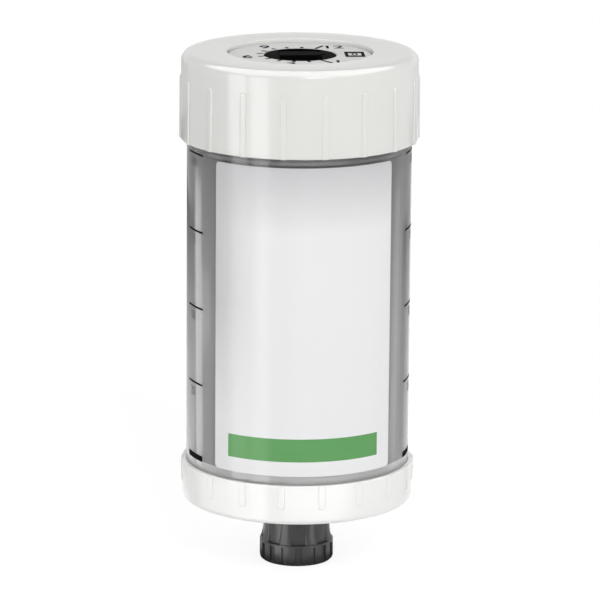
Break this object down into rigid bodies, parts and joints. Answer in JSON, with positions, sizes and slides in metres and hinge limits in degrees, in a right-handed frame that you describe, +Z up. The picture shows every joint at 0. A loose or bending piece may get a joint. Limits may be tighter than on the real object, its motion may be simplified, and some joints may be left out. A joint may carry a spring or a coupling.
{
  "type": "automatic lubricator",
  "caption": "Cylindrical gas-driven automatic lubricator with a clear grease reservoir, gripped screw cap, set dial on top and a plugged taper-threaded outlet below.",
  "frame": {"origin": "centre of the outlet plug's flat underside, on which the lubricator stands", "axes": "+Z up the common axis towards the dial, -Y towards the middle of the label, +X towards the dial's pointer in its off position"},
  "size_m": [0.0536, 0.053, 0.1165],
  "materials": {
    "white_gloss": "glossy moulded plastic",
    "white_satin": "satin moulded plastic",
    "clear_plastic": "clear, polished",
    "grease": "soft grey grease",
    "label_film": "satin white film with a green bar",
    "piston_plastic": "satin",
    "seal_rubber": "moulded rubber",
    "plug_black": "satin moulded plastic",
    "dial_black": "moulded plastic",
    "cell_steel": "plated steel can",
    "contact_metal": "sprung strip",
    "board_green": "lacquered laminate",
    "chip_black": "moulded"
  },
  "bodies": {
    "housing": {"head_cap": "white_gloss", "base": "white_gloss", "drive_housing": "white_satin", "drive_cover": "white_satin", "reservoir": "clear_plastic", "grease": "grease", "label": "label_film", "base_seal": "seal_rubber", "drive_seal": "seal_rubber", "dial_seal": "seal_rubber", "gas_cell_seal": "seal_rubber", "gas_cell": "cell_steel", "battery_left": "cell_steel", "battery_right": "cell_steel", "battery_link": "contact_metal", "gas_cell_contact": "contact_metal", "battery_left_contact": "contact_metal", "battery_right_contact": "contact_metal", "circuit_board": "board_green", "control_chip": "chip_black"},
    "piston": {"piston": "piston_plastic", "lower_lip_seal": "seal_rubber", "upper_lip_seal": "seal_rubber"},
    "dial": {"selector_dial": "dial_black", "dial_clip": "contact_metal", "dial_wiper": "contact_metal"},
    "plug_seal": {"plug_seal": "seal_rubber"},
    "outlet_plug": {"outlet_plug": "plug_black"}
  },
  "joints": [
    {"name": "dial_turn", "type": "hinge", "parent": "housing", "child": "dial", "pos_m": [0, 0, 0.1145], "axis": [0, 0, -1], "range_deg": [0, 300]},
    {"name": "piston_stroke", "type": "slide", "parent": "housing", "child": "piston", "axis": [0, 0, -1], "range_m": [0, 0.069], "deforming": ["grease"]},
    {"name": "plug_travel", "type": "slide", "parent": "housing", "child": "plug_seal", "axis": [0, 0, -1], "range_m": [0, 0.01337]},
    {"name": "plug_turn", "type": "hinge", "parent": "plug_seal", "child": "outlet_plug", "pos_m": [0, 0, 0.00725], "axis": [0, 0, -1], "range_deg": [0, 3600]}
  ],
  "couplings": [
    {"joint": "plug_turn", "follows": "plug_travel", "rad_per_m": 4699.5}
  ]
}
